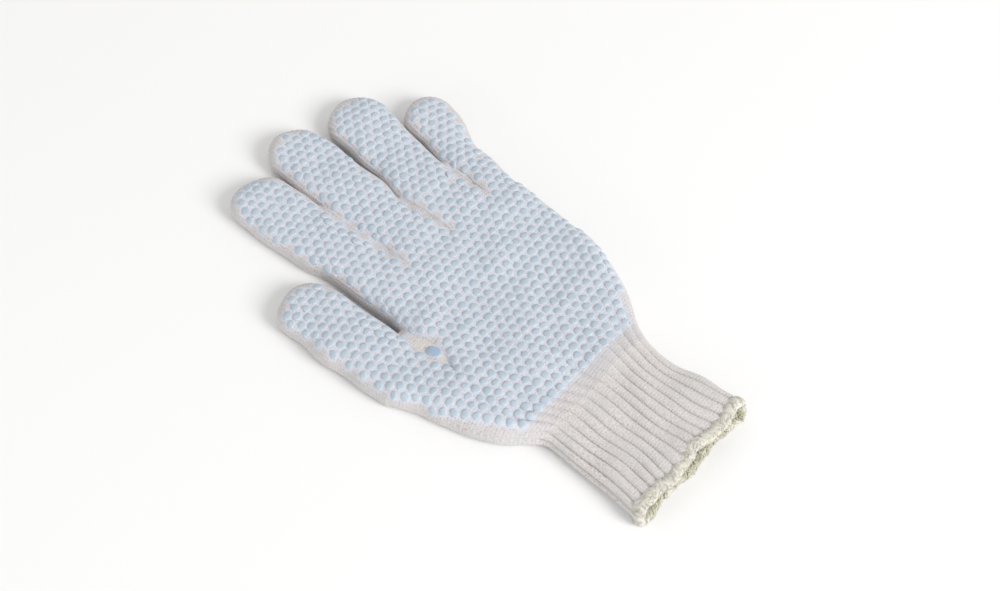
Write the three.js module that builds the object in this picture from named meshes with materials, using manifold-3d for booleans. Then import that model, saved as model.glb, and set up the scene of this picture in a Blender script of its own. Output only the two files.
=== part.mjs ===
// Dotted knit work glove: the left-hand glove of a pair, lying on its back with the palm up.
// Millimetres, +Y from the hem towards the fingertips, +Z up, thumb on the -X side.
import * as THREE from 'three';
import { mergeVertices } from 'three/addons/utils/BufferGeometryUtils.js';
import Module from 'manifold-3d';

const wasm = await Module();
wasm.setup();

// Knit thicknesses and the gap between neighbouring pieces
const WALL = 1.8;
const CUFF_WALL = 2.2;
const HEM_WALL = 3.4;
const GAP = 0.3;

// Places along the hand, measured from the free edge of the hem
const HEM_END = 5.5;
const WRIST = 51.5;
const THUMB_CROTCH = 112.5;
const FINGER_LINE = 170.5;

// Section shape: rounded sides of this reach with a straight middle between them. In the exponent 2 is
// an ellipse and more is boxier, and the sunk part is pressed flat on the table.
const SIDE_REACH = 12;
const SIDE_EXPONENT = 2.5;
const STRAIGHT_SHARE = 0.25;
const SUNK = 1.1;

// Ribbed cuff: ribs all round, a rib's relief, and the waves of its overlocked edge
const RIBS = 32;
const POINTS_PER_RIB = 4;
const RIB_RELIEF = 0.55;
const EDGE_WAVES = 5;
const EDGE_WAVE = 0.9;

// Sides of the faceted sections
const HEEL_SIDES = 48;
const PALM_SIDES = 64;
const STALL_SIDES = 24;
const CUFF_LINING_SIDES = 52;
const HEM_SIDES = 52;
const OUTLINE_STEPS = 480;

// Cuff from the hem to the wrist: left and right edge, height, and how much of the rib relief shows
const CUFF_SECTIONS = [
  { y: HEM_END, left: -35.0, right: 34.0, height: 13.0, relief: 1.0 },
  { y: 19, left: -33.8, right: 33.0, height: 12.0, relief: 1.0 },
  { y: 34, left: -32.6, right: 31.5, height: 11.6, relief: 1.0 },
  { y: 44, left: -32.4, right: 31.5, height: 11.8, relief: 0.8 },
  { y: WRIST, left: -33.5, right: 32.5, height: 12.2, relief: 0.3 },
];

// Hem: how far the overlocked edge stands out from the cuff's wall at each place
const HEM_SECTIONS = [
  { y: 0, swell: -1.0 },
  { y: 0.9, swell: -0.2 },
  { y: 2.4, swell: 0.3 },
  { y: 4.2, swell: 0.1 },
  { y: HEM_END, swell: -0.5 },
];

// Slack middle of the palm, which dips between the heel and the fingers
const DIP_MIDDLE = 12;
const DIP_REACH = 38;

// Gathers at the wrist, and the creases that run down from the crotches between the stalls
const POINTS_PER_GATHER = 4;
const GATHER_RELIEF = 0.6;
const CREASE_REACH = 3.2;

// Heel of the hand with the root of the thumb, from the wrist to the thumb crotch
const HEEL_SECTIONS = [
  { y: WRIST, left: -33.5, right: 32.5, height: 12.2, dip: 0, gather: 1.0, crease: 0 },
  { y: 57.5, left: -37.5, right: 35.5, height: 12.8, dip: 0.3, gather: 1.0, crease: 0 },
  { y: 63.5, left: -43.5, right: 40.0, height: 13.3, dip: 0.8, gather: 0.7, crease: 0 },
  { y: 75, left: -49.0, right: 47.5, height: 13.8, dip: 1.4, gather: 0.2, crease: 0 },
  { y: 88, left: -53.0, right: 53.5, height: 14.0, dip: 1.9, gather: 0, crease: 0.3 },
  { y: 98, left: -56.2, right: 56.6, height: 13.8, dip: 2.1, gather: 0, crease: 1.4 },
  { y: 106.5, left: -60.2, right: 57.9, height: 13.3, dip: 2.1, gather: 0, crease: 3.2 },
  { y: THUMB_CROTCH, left: -61.2, right: 58.5, height: 12.9, dip: 2.0, gather: 0, crease: 4.6 },
];

// Upper palm, from inside the heel to the line where the fingers start
const PALM_SECTIONS = [
  { y: 102, left: -30.0, right: 54.0, height: 10.5, dip: 2.0, gather: 0, crease: 0 },
  { y: THUMB_CROTCH, left: -31.8, right: 58.5, height: 12.9, dip: 2.0, gather: 0, crease: 0 },
  { y: 130, left: -32.4, right: 59.6, height: 12.6, dip: 1.6, gather: 0, crease: 0 },
  { y: 147, left: -32.8, right: 61.2, height: 12.2, dip: 1.0, gather: 0, crease: 0.6 },
  { y: 160, left: -33.1, right: 62.8, height: 11.7, dip: 0.4, gather: 0, crease: 2.4 },
  { y: FINGER_LINE, left: -33.2, right: 63.9, height: 11.2, dip: 0.1, gather: 0, crease: 4.6 },
];

// Stalls: middle of the base, lean in degrees towards the thumb, and sizes at the base and near the tip
const STALLS = [
  { name: 'thumb_stall', x: -47.3, y: THUMB_CROTCH, lean: 2.0, length: 67.0,
    baseWidth: 27.8, endWidth: 28.4, baseHeight: 12.6, endHeight: 10.6 },
  { name: 'index_finger_stall', x: -20.0, y: FINGER_LINE, lean: 1.2, length: 65.5,
    baseWidth: 26.2, endWidth: 28.0, baseHeight: 11.0, endHeight: 10.2 },
  { name: 'middle_finger_stall', x: 6.3, y: FINGER_LINE, lean: -2.6, length: 74.5,
    baseWidth: 25.2, endWidth: 29.2, baseHeight: 11.0, endHeight: 10.4 },
  { name: 'ring_finger_stall', x: 32.4, y: FINGER_LINE, lean: -7.8, length: 68,
    baseWidth: 25.4, endWidth: 29.6, baseHeight: 11.0, endHeight: 10.2 },
  { name: 'little_finger_stall', x: 54.9, y: FINGER_LINE, lean: -16, length: 44.5,
    baseWidth: 17.6, endWidth: 22.4, baseHeight: 10.8, endHeight: 9.8 },
];

// Shaft of a stall: how far it starts below its base before it is cut there, and where its sections lie
// as parts of the straight length
const STALL_ROOT = 8;
const SHAFT_PARTS = [0, 0.35, 0.7];

// Round tip of a stall: its length as a part of the width, the sections that draw it, the width left at
// the very end, and how much of the height stays there
const TIP_ROUND = 0.52;
const TIP_STEPS = 5;
const TIP_BLUNT = 0.16;
const TIP_HEIGHT = 0.35;

// How far a hollow runs out of the solid that it is cut from, and how near points are one point
const RUN_OUT = 2;
const SAME_POINT = 1e-4;

const KNIT = { color: 0xdcdad7, roughness: 0.95, metalness: 0 };
const HEM_YARN = { color: 0xe6e2c6, roughness: 0.95, metalness: 0 };

// Outline of one section in its own plane: u across, z up, resting flat on z = floor.
// An inset makes the inner face of a wall of that thickness.
function sectionOutline(width, height, inset, count) {
  const halfWidth = width / 2 - inset;
  const reach = Math.min(halfWidth, SIDE_REACH - inset);
  const top = height - inset;
  const floor = inset;
  const halfHeight = (top - floor + SUNK) / 2;
  const middle = top - halfHeight;
  const fine = [];
  for (let i = 0; i <= OUTLINE_STEPS; i += 1) {
    const angle = (2 * Math.PI * i) / OUTLINE_STEPS;
    const across = Math.sign(Math.cos(angle)) * Math.abs(Math.cos(angle)) ** (2 / SIDE_EXPONENT);
    const up = Math.sign(Math.sin(angle)) * Math.abs(Math.sin(angle)) ** (2 / SIDE_EXPONENT);
    const shift = THREE.MathUtils.clamp(Math.cos(angle) / STRAIGHT_SHARE, -1, 1);
    const u = reach * across + (halfWidth - reach) * shift;
    fine.push(new THREE.Vector2(u, Math.max(floor, middle + halfHeight * up)));
  }
  return evenPoints(fine, count);
}

// Points spaced evenly along a closed line of fine points.
function evenPoints(fine, count) {
  const lengths = [0];
  for (let i = 1; i < fine.length; i += 1) {
    lengths.push(lengths[i - 1] + fine[i].distanceTo(fine[i - 1]));
  }
  const points = [];
  let k = 0;
  for (let i = 0; i < count; i += 1) {
    const wanted = (lengths.at(-1) * i) / count;
    while (lengths[k + 1] < wanted) {
      k += 1;
    }
    const part = (wanted - lengths[k]) / (lengths[k + 1] - lengths[k]);
    points.push(fine[k].clone().lerp(fine[k + 1], part));
  }
  return points;
}

// Moves each point of a closed outline along its outward normal by offset(i).
function swelled(points, offset) {
  const count = points.length;
  return points.map((point, i) => {
    const along = points[(i + 1) % count].clone().sub(points[(i + count - 1) % count]).normalize();
    return new THREE.Vector2(point.x + along.y * offset(i), point.y - along.x * offset(i));
  });
}

// Closed solid through rings of points, each ring running the same way round.
function loft(rings) {
  const count = rings[0].length;
  const positions = rings.flat().flatMap((point) => point.toArray());
  const indices = [];
  for (let r = 0; r + 1 < rings.length; r += 1) {
    for (let i = 0; i < count; i += 1) {
      const a = r * count + i;
      const b = r * count + ((i + 1) % count);
      indices.push(a, a + count, b, b, a + count, b + count);
    }
  }
  for (const [ring, first, turn] of [[rings[0], 0, 1], [rings.at(-1), (rings.length - 1) * count, -1]]) {
    const middle = new THREE.Vector3();
    ring.forEach((point) => middle.add(point));
    middle.divideScalar(count);
    const hub = positions.length / 3;
    positions.push(...middle.toArray());
    for (let i = 0; i < count; i += 1) {
      const a = first + i;
      const b = first + ((i + 1) % count);
      indices.push(...(turn > 0 ? [hub, a, b] : [hub, b, a]));
    }
  }
  return solidOf(positions, indices);
}

function solidOf(positions, indices) {
  const geometry = new THREE.BufferGeometry();
  geometry.setAttribute('position', new THREE.Float32BufferAttribute(positions, 3));
  geometry.setIndex(indices);
  const merged = mergeVertices(geometry, SAME_POINT);
  const mesh = new wasm.Mesh({
    numProp: 3,
    vertProperties: new Float32Array(merged.attributes.position.array),
    triVerts: new Uint32Array(merged.index.array),
  });
  return new wasm.Manifold(mesh);
}

function meshOf(name, solid, finish) {
  const data = solid.getMesh();
  const geometry = new THREE.BufferGeometry();
  geometry.setAttribute('position', new THREE.Float32BufferAttribute(data.vertProperties, 3));
  geometry.setIndex(new THREE.Uint32BufferAttribute(data.triVerts, 1));
  geometry.computeVertexNormals();
  const mesh = new THREE.Mesh(geometry, new THREE.MeshStandardMaterial(finish));
  mesh.name = name;
  return mesh;
}

// Where the creases lie: between each stall and the next one to its right
function creasePlaces(stalls) {
  return stalls.slice(1).map((stall, i) => {
    const rightOfLast = stalls[i].x + stalls[i].baseWidth / 2;
    const leftOfNext = stall.x - stall.baseWidth / 2;
    return (rightOfLast + leftOfNext) / 2;
  });
}

// Ring of the palm between its left and right edge: gathered towards the wrist, and on its top dipped
// in the middle and creased at the places given.
function palmRing(section, inset, count, creases) {
  const middle = (section.left + section.right) / 2;
  const outline = sectionOutline(section.right - section.left, section.height, inset, count);
  const relief = inset > 0 ? 0 : GATHER_RELIEF * section.gather;
  const gathered = swelled(outline, (i) => relief * (Math.cos((2 * Math.PI * i) / POINTS_PER_GATHER) - 1));
  return gathered.map((point) => {
    const x = middle + point.x;
    const slack = Math.max(0, 1 - ((x - DIP_MIDDLE) / DIP_REACH) ** 2);
    const creased = creases.reduce((sum, place) => sum + Math.exp(-(((x - place) / CREASE_REACH) ** 2)), 0);
    const lowered = point.y > section.height / 2 ? section.dip * slack + section.crease * creased : 0;
    return new THREE.Vector3(x, section.y, Math.max(point.y - lowered, 0));
  });
}

// The same sections with the first and last one carried on, so that a hollow runs out of its solid.
function carriedOn(sections, before, after) {
  const first = { ...sections[0], y: sections[0].y - before };
  const last = { ...sections.at(-1), y: sections.at(-1).y + after };
  return [first, ...sections, last].filter((section, i, all) => i === 0 || section.y > all[i - 1].y);
}

// Where the wavy free edge of the glove lies, and how the wave dies out towards the wrist
function waveAt(part, y) {
  const fade = Math.max(0, 1 - y / WRIST);
  return EDGE_WAVE * fade * Math.sin(2 * Math.PI * EDGE_WAVES * part);
}

function stallWidthAt(stall, along) {
  const part = Math.sin((along / stall.length) * (Math.PI / 2));
  return THREE.MathUtils.lerp(stall.baseWidth, stall.endWidth, part);
}

function stallHeightAt(stall, along) {
  return THREE.MathUtils.lerp(stall.baseHeight, stall.endHeight, along / stall.length);
}

// Rings of a stall along its own +Y, from below its base to its round tip.
function stallRings(stall, inset) {
  const round = stall.endWidth * TIP_ROUND - inset;
  const straightEnd = stall.length - inset - round;
  const rings = [];
  rings.push({ along: -STALL_ROOT, scale: 1 });
  for (const part of SHAFT_PARTS) {
    rings.push({ along: straightEnd * part, scale: 1 });
  }
  for (let i = 0; i <= TIP_STEPS; i += 1) {
    const angle = (i / TIP_STEPS) * (Math.PI / 2);
    const along = straightEnd + round * Math.sin(angle);
    rings.push({ along, scale: Math.max(TIP_BLUNT, Math.cos(angle)) });
  }
  return rings.map(({ along, scale }) => {
    const width = (stallWidthAt(stall, Math.max(0, along)) - 2 * inset) * scale + 2 * inset;
    const full = stallHeightAt(stall, Math.max(0, along));
    const height = (full - 2 * inset) * THREE.MathUtils.lerp(TIP_HEIGHT, 1, Math.sqrt(scale)) + 2 * inset;
    return sectionOutline(width, height, inset, STALL_SIDES)
      .map((point) => new THREE.Vector3(point.x, along, point.y));
  });
}

// Cuff: a ribbed tube that is open at the mouth and at the wrist
function buildCuff() {
  const ringsOf = (sections, inset, count) => sections.map((section) => {
    const middle = (section.left + section.right) / 2;
    const plain = sectionOutline(section.right - section.left, section.height, inset, count);
    const relief = inset > 0 ? 0 : RIB_RELIEF * section.relief;
    const ribbed = swelled(plain, (i) => relief * (Math.cos((2 * Math.PI * i) / POINTS_PER_RIB) - 1));
    return ribbed.map((point, i) => {
      const y = section.y + waveAt(i / count, section.y);
      return new THREE.Vector3(middle + point.x, y, Math.max(point.y, 0));
    });
  });
  const sections = CUFF_SECTIONS.map((section, i) => {
    const clearance = i === 0 ? GAP / 2 : 0;
    const wristClearance = i === CUFF_SECTIONS.length - 1 ? GAP / 2 : 0;
    return { ...section, y: section.y + clearance - wristClearance };
  });
  const outer = loft(ringsOf(sections, 0, RIBS * POINTS_PER_RIB));
  const inner = loft(ringsOf(carriedOn(sections, RUN_OUT, RUN_OUT), CUFF_WALL, CUFF_LINING_SIDES));
  return meshOf('ribbed_cuff', outer.subtract(inner), KNIT);
}

// Hem: the thick overlocked edge round the mouth, following the cuff's section and waves
function buildHem() {
  const count = HEM_SIDES;
  const mouth = CUFF_SECTIONS[0];
  const middle = (mouth.left + mouth.right) / 2;
  const ringsOf = (sections, inset, sign) => sections.map((section) => {
    const plain = sectionOutline(mouth.right - mouth.left, mouth.height, inset, count);
    const shaped = swelled(plain, () => sign * section.swell);
    return shaped.map((point, i) => {
      const y = section.y + waveAt(i / count, HEM_END);
      return new THREE.Vector3(middle + point.x, y, Math.max(point.y, 0));
    });
  });
  const lastY = HEM_END - GAP / 2;
  const sections = HEM_SECTIONS.map((section) => ({ ...section, y: Math.min(section.y, lastY) }));
  const outer = loft(ringsOf(sections, 0, 1));
  const inner = loft(ringsOf(carriedOn(sections, RUN_OUT, RUN_OUT), HEM_WALL, -1));
  return meshOf('overlocked_hem', outer.subtract(inner), HEM_YARN);
}

// Palm: one seamless knitted body, open at the wrist, to the thumb and to the four fingers
function buildPalm() {
  const [thumb, index, ...others] = STALLS;
  const thumbCrease = creasePlaces([thumb, index]);
  const fingerCreases = creasePlaces([index, ...others]);
  const heelRings = (sections, inset) => sections.map(
    (section) => palmRing(section, inset, HEEL_SIDES, thumbCrease));
  const upperRings = (sections, inset) => sections.map(
    (section) => palmRing(section, inset, PALM_SIDES, fingerCreases));
  const heel = HEEL_SECTIONS.map((section) => ({ ...section }));
  heel[0].y += GAP / 2;
  heel.at(-1).y -= GAP / 2;
  const upper = PALM_SECTIONS.map((section) => ({ ...section }));
  upper.at(-1).y -= GAP / 2;
  const outer = loft(heelRings(heel, 0)).add(loft(upperRings(upper, 0)));
  const heelHollow = carriedOn(heel, RUN_OUT, 0);
  heelHollow.at(-1).y -= WALL;
  const thumbWay = [-WALL - GAP, RUN_OUT].map((step) => ({
    y: THUMB_CROTCH + step,
    left: thumb.x - thumb.baseWidth / 2,
    right: thumb.x + thumb.baseWidth / 2,
    height: thumb.baseHeight,
    dip: 0,
    gather: 0,
    crease: 0,
  }));
  const hollow = loft(heelRings(heelHollow, WALL))
    .add(loft(upperRings(carriedOn(upper, 0, RUN_OUT), WALL)))
    .add(loft(heelRings(thumbWay, WALL)));
  return meshOf('palm_body', outer.subtract(hollow), KNIT);
}

// Stall: a knitted tube with a round closed tip, cut square with the hand where it joins the palm
function buildStall(stall) {
  const lean = THREE.MathUtils.degToRad(stall.lean);
  const shell = loft(stallRings(stall, 0)).subtract(loft(stallRings(stall, WALL)));
  const handwards = [Math.sin(lean), Math.cos(lean), 0];
  const mesh = meshOf(stall.name, shell.trimByPlane(handwards, GAP / 2), KNIT);
  mesh.position.set(stall.x, stall.y, 0);
  mesh.rotation.z = lean;
  return mesh;
}

const glove = new THREE.Group();
glove.add(buildHem());
glove.add(buildCuff());
glove.add(buildPalm());
for (const stall of STALLS) {
  glove.add(buildStall(stall));
}

// The origin is the middle of the glove's outline, on the table.
const middle = new THREE.Box3().setFromObject(glove, true).getCenter(new THREE.Vector3());
glove.position.set(-middle.x, -middle.y, 0);

export default glove;
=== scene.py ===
import math

import bpy
import numpy as np
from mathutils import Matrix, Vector


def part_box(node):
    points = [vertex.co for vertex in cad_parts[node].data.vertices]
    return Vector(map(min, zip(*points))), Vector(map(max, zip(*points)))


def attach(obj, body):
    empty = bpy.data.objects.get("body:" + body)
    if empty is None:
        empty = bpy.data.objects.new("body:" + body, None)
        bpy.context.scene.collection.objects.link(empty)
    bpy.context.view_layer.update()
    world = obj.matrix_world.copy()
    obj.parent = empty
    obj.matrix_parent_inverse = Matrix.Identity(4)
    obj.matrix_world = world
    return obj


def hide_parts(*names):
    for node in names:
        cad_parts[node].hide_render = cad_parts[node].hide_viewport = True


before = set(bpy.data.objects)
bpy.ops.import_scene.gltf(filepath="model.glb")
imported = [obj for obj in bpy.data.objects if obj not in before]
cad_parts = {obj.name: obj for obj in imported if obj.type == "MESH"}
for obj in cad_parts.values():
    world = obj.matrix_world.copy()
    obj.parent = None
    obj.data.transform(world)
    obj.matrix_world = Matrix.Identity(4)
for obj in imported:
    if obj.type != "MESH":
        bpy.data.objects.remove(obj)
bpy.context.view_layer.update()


# Four finger stalls. The glove is knitted from off-white string yarn in one go on a flat-bed machine, and the
# fingers come first: seamless plain-knit tubes that lie flat, with round tips closed along their rim.
MM = 0.001
PALM_LEFT = -61.2
PALM_START = 51.65
FINGER_LINE = 170.5
SIDE_REACH = 10
SIDE_POWER = 0.8
STRAIGHT_SHARE = 0.25
EDGE_LEVEL = 4.2
EDGE_ROUND = 5.0
WALL = 1.8
TIP_WIDTH = 0.08
TIP_HEIGHT = 0.35
TURN_REACH = 20
SPREAD_FADE = 14
TUCK = 0.3
TUCK_REACH = 1.2
COLUMN_WIDTH = 1.65
COURSE_HEIGHT = 1.35
POINTS_ACROSS = 4
ROW_STEP = COURSE_HEIGHT / 3
CALM = 0.3
TIP_CALM = 1.5
SLANT = 0.9
LEG_HEIGHT = 0.11
FURROW_DEPTH = 0.08
HOLE_DEPTH = 0.15
PRINT_TINT = (0.655, 0.675, 0.745, 1)
# x is the middle of the base, and lean is in degrees towards the thumb. Widths and heights are those of base and
# end, tip is the length of the round end in widths, and spread widens the root to the left and right until it
# fades out past spread_end.
FINGERS = (
    dict(name="index", x=-20.0, lean=1.2, length=66.8, widths=(26.2, 28.4), heights=(11.0, 10.2),
         tip=0.44, spread=(-2.7, 0.9), spread_end=(2, 24)),
    dict(name="middle", x=6.3, lean=-2.6, length=75.0, widths=(25.2, 29.4), heights=(11.0, 10.4),
         tip=0.46, spread=(0.9, 0.5), spread_end=(24, 24)),
    dict(name="ring", x=32.4, lean=-9.1, length=68.2, widths=(25.4, 30.2), heights=(11.0, 10.2),
         tip=0.46, spread=(0.5, 0.5), spread_end=(8, 8)),
    dict(name="little", x=54.9, lean=-16.8, length=44.5, widths=(17.6, 22.4), heights=(10.8, 9.8),
         tip=0.5, spread=(0.5, 0.3), spread_end=(8, 8)),
)

palm_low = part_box("palm_body")[0]
hand_origin = np.array([palm_low.x / MM - PALM_LEFT, palm_low.y / MM - PALM_START, 0.0])
lump_seed = np.random.default_rng(7)
LONGEST_LUMP = 46
LUMPS = [(lump_seed.uniform(0, 2 * np.pi), lump_seed.uniform(14, LONGEST_LUMP), lump_seed.uniform(0, 2 * np.pi))
         for _ in range(27)]
TIGHTNESS = lump_seed.uniform(0.35, 1.4, (97, 89))


def eased(value, start, end):
    """0 before start, 1 after end, and a smooth rise between them."""
    part = np.clip((np.asarray(value, float) - start) / (end - start), 0, 1)
    return part * part * (3 - 2 * part)


def tube_line(width, height, count):
    """Outline of a tube on the table, across and up, from its right side over the top and back below."""
    angle = np.linspace(0, 2 * np.pi, 1441)
    over = angle <= np.pi
    reach = np.minimum(width / 2, np.where(over, SIDE_REACH, EDGE_ROUND))
    turn = np.sign(np.cos(angle)) * np.abs(np.cos(angle)) ** SIDE_POWER
    lift = np.sign(np.sin(angle)) * np.abs(np.sin(angle)) ** SIDE_POWER
    across = reach * turn + (width / 2 - reach) * np.clip(np.cos(angle) / STRAIGHT_SHARE, -1, 1)
    edge = min(EDGE_LEVEL, height * 0.45)
    up = np.maximum(0, edge + np.where(over, height - edge, edge * 1.1) * lift)
    run = np.concatenate(([0], np.cumsum(np.hypot(np.diff(across), np.diff(up)))))
    wanted = np.linspace(0, run[-1], count + 1)
    return np.interp(wanted, run, across), np.interp(wanted, run, up)


def cloth_lumps(points):
    """Slow unevenness of the slack cloth: how far it lifts, and how its columns wander across and along."""
    total = np.zeros((3,) + points.shape[:-1])
    for number, (heading, length, phase) in enumerate(LUMPS):
        along = points[..., 0] * math.cos(heading) + points[..., 1] * math.sin(heading)
        total[number % 3] += np.sin(2 * np.pi * along / length + phase) * length / LONGEST_LUMP
    return 0.22 * total[0] * eased(points[..., 2], 0.6, 4), 0.3 * total[1], 0.2 * total[2]


def stitch_height(column, course):
    """Relief of plain knit: two slanted legs to a stitch, a furrow between columns and a hole in each course."""
    across = column % 1
    columns, courses = TIGHTNESS.shape
    tightness = TIGHTNESS[np.floor(column).astype(int) % columns, np.floor(course).astype(int) % courses]
    furrow = np.abs(np.cos(np.pi * across)) ** 3
    legs = 0.5 + 0.5 * np.cos(2 * np.pi * (course + SLANT * np.abs(across - 0.5)))
    hole = furrow * (0.5 - 0.5 * np.cos(2 * np.pi * course)) ** 2
    return tightness * (LEG_HEIGHT * legs * (1 - furrow) - FURROW_DEPTH * furrow - HOLE_DEPTH * hole)


def outward(points):
    """Unit normals of a grid of rings, each ring without its closing point."""
    around = np.roll(points, -1, 1) - np.roll(points, 1, 1)
    normals = np.cross(np.gradient(points, axis=0), around)
    return normals / np.maximum(np.linalg.norm(normals, axis=2, keepdims=True), 1e-9)


def smooth_outside(weld=False):
    """Turns the faces of the active piece outward and shades them smooth; can weld points that meet."""
    bpy.ops.object.mode_set(mode="EDIT")
    bpy.ops.mesh.select_all(action="SELECT")
    if weld:
        bpy.ops.mesh.remove_doubles(threshold=2e-6)
    bpy.ops.mesh.normals_make_consistent(inside=False)
    bpy.ops.object.mode_set(mode="OBJECT")
    bpy.ops.object.shade_smooth()


def closed_grid(name, rows, columns, courses):
    """Mesh from rows of points in hand millimetres; points that meet, as where a ring closes, are welded."""
    count, size = rows.shape[:2]
    bpy.ops.object.select_all(action="DESELECT")
    bpy.ops.mesh.primitive_grid_add(x_subdivisions=size - 1, y_subdivisions=count - 1, size=1, calc_uvs=True)
    piece = bpy.context.object
    piece.name = piece.data.name = name
    mesh = piece.data
    places = (rows.reshape(-1, 3) + hand_origin) * MM
    mesh.vertices.foreach_set("co", places.astype(np.float32).ravel())
    corner = np.zeros(len(mesh.loops), np.int32)
    mesh.loops.foreach_get("vertex_index", corner)
    knit_map = np.stack([columns.ravel(), courses.ravel()], 1)[corner]
    mesh.uv_layers[0].name = "knit"
    mesh.uv_layers[0].data.foreach_set("uv", knit_map.astype(np.float32).ravel())
    mesh.update()
    smooth_outside(weld=True)
    return piece


def knit_tube(name, rings, columns, courses, relief, closed_tip=False, wall=WALL):
    """Knitted tube with a wall: fine rings outside, the relief on them, and a coarse lining inside."""
    smooth = rings[:, :-1] + 0.0
    normals = outward(smooth)
    lift, aside, along = cloth_lumps(smooth)
    swollen = smooth + normals * lift[..., None] + np.stack([aside, along, np.zeros_like(aside)], -1)
    skin = swollen + normals * relief[:, :-1, None]
    lining_rows = np.unique(np.linspace(0, len(rings) - 1, max(5, len(rings) // 16)).astype(int))
    if closed_tip:
        lining_rows = lining_rows[:-3]
    lining = (smooth - normals * wall)[lining_rows][::-1]
    skin[..., 2] = np.maximum(skin[..., 2], 0)
    lining[..., 2] = np.maximum(lining[..., 2], wall / 2)
    inside, outside = list(lining_rows[::-1]), list(range(len(rings)))
    if closed_tip:
        poles = [np.broadcast_to(ring.mean(0), skin[:1].shape) for ring in (lining[0], skin[-1])]
        grid = np.concatenate([poles[0], lining, skin, poles[1]])
        rows = inside[:1] + inside + outside + outside[-1:]
    else:
        grid = np.concatenate([lining, skin, lining[:1]])
        rows = inside + outside + inside[:1]
    grid = np.concatenate([grid, grid[:, :1]], 1)
    return closed_grid(name, grid, columns[rows], courses[rows])


def stall_width(stall, along):
    """Width of a stall at a place along it."""
    part = np.sin(np.clip(along / stall["length"], 0, 1) * np.pi / 2)
    return stall["widths"][0] + (stall["widths"][1] - stall["widths"][0]) * part


def stall_rings(stall, line_y):
    """Rings of a stall from just inside the palm to its tip, with the knit column and course of each point."""
    end_width = stall["widths"][1]
    round_length = end_width * stall["tip"]
    straight_end = stall["length"] - round_length
    shaft = np.arange(-TUCK_REACH, straight_end, ROW_STEP)
    steps = int(round_length * 1.5 / ROW_STEP)
    tip = straight_end + round_length * np.sin(np.linspace(0, math.acos(TIP_WIDTH), steps + 1))
    places = np.concatenate([shaft, tip])
    perimeter = 2 * (stall["widths"][0] + stall["heights"][0] * 0.55)
    wales = round(perimeter / COLUMN_WIDTH)
    count = wales * POINTS_ACROSS
    lean = math.radians(stall["lean"])
    heading = np.array([-math.sin(lean), math.cos(lean)])
    rings, columns = [], []
    full_across, _ = tube_line(end_width, stall["heights"][1], count)
    full_left = int(np.argmin(full_across))
    part = np.linspace(0, 1, count + 1)
    for place in places:
        beyond = np.clip((place - straight_end) / round_length, 0, 1)
        scale = math.sqrt(1 - beyond ** 2)
        width = stall_width(stall, max(0, place)) * scale
        height = np.interp(place, [0, stall["length"]], stall["heights"])
        height *= TIP_HEIGHT + (1 - TIP_HEIGHT) * math.sqrt(scale)
        across, up = tube_line(width, height, count)
        tuck = TUCK * float(eased(-place, 0, TUCK_REACH))
        left_spread, right_spread = (
            amount * (1 - float(eased(place, end, end + SPREAD_FADE)))
            for amount, end in zip(stall["spread"], stall["spread_end"]))
        side = across / (width / 2)
        across = across + right_spread * np.clip(side, 0, 1) ** 2 - left_spread * np.clip(-side, 0, 1) ** 2
        across *= 1 - 2 * tuck / width
        up = np.maximum(0, up - tuck)
        turn = lean * float(eased(place, 0, TURN_REACH))
        middle = np.array([stall["x"], line_y]) + heading * place
        x, y = middle[0] + across * math.cos(turn), middle[1] + across * math.sin(turn)
        rings.append(np.stack([x, y, up], 1))
        if beyond > 0:
            left = int(np.argmin(across)) + 1
            top = np.interp(-across[:left], -full_across[:full_left + 1], part[:full_left + 1])
            below = np.interp(across[left:], full_across[full_left:], part[full_left:])
            columns.append(np.concatenate([top, below]) * wales)
        else:
            columns.append(part * wales)
    courses = np.repeat(places[:, None] / COURSE_HEIGHT, count + 1, 1)
    return np.array(rings), np.array(columns), courses, places


def calmed(places, *joints):
    """Share of the stitch relief left at each place: it is calm where two pieces meet."""
    shares = [CALM + (1 - CALM) * eased(np.abs(places - joint), 0, TUCK_REACH) for joint in joints]
    return np.min(shares, 0)[:, None]


def node(tree, kind, inputs=None, **settings):
    """Adds a shader node; an input is given a value, or the socket that drives it."""
    made = tree.nodes.new(kind)
    for key, value in settings.items():
        setattr(made, key, value)
    for key, value in (inputs or {}).items():
        if isinstance(value, bpy.types.NodeSocket):
            tree.links.new(value, made.inputs[key])
        else:
            made.inputs[key].default_value = value
    return made


def new_material(name):
    """Empty material and its node tree."""
    made = bpy.data.materials.new(name)
    made.use_nodes = True
    made.node_tree.nodes.clear()
    return made, made.node_tree


def maths(tree, operation, *values):
    """Result of a sum on numbers or sockets."""
    return node(tree, "ShaderNodeMath", dict(enumerate(values)), operation=operation).outputs[0]


def mapped(tree, value, low, high, to_low, to_high):
    """Value moved smoothly from one range to another."""
    settings = {"Value": value, "From Min": low, "From Max": high, "To Min": to_low, "To Max": to_high}
    return node(tree, "ShaderNodeMapRange", settings, interpolation_type="SMOOTHSTEP").outputs[0]


def tinted(tree, kind, factor, first, second):
    """Two colours mixed in one of Blender's ways."""
    made = node(tree, "ShaderNodeMix", {0: factor, 6: first, 7: second}, data_type="RGBA", blend_type=kind)
    return made.outputs[2]


def shaded(tree, tone, shade):
    """Colour made darker by a grey shade."""
    grey = node(tree, "ShaderNodeCombineColor", {0: shade, 1: shade, 2: shade}).outputs[0]
    return tinted(tree, "MULTIPLY", 1.0, tone, grey)


def noise(tree, scale, detail):
    """Cloudy pattern with this many clouds to a metre."""
    place = node(tree, "ShaderNodeTexCoord").outputs["Object"]
    return node(tree, "ShaderNodeTexNoise", {"Vector": place, "Scale": scale, "Detail": detail}).outputs["Fac"]


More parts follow.
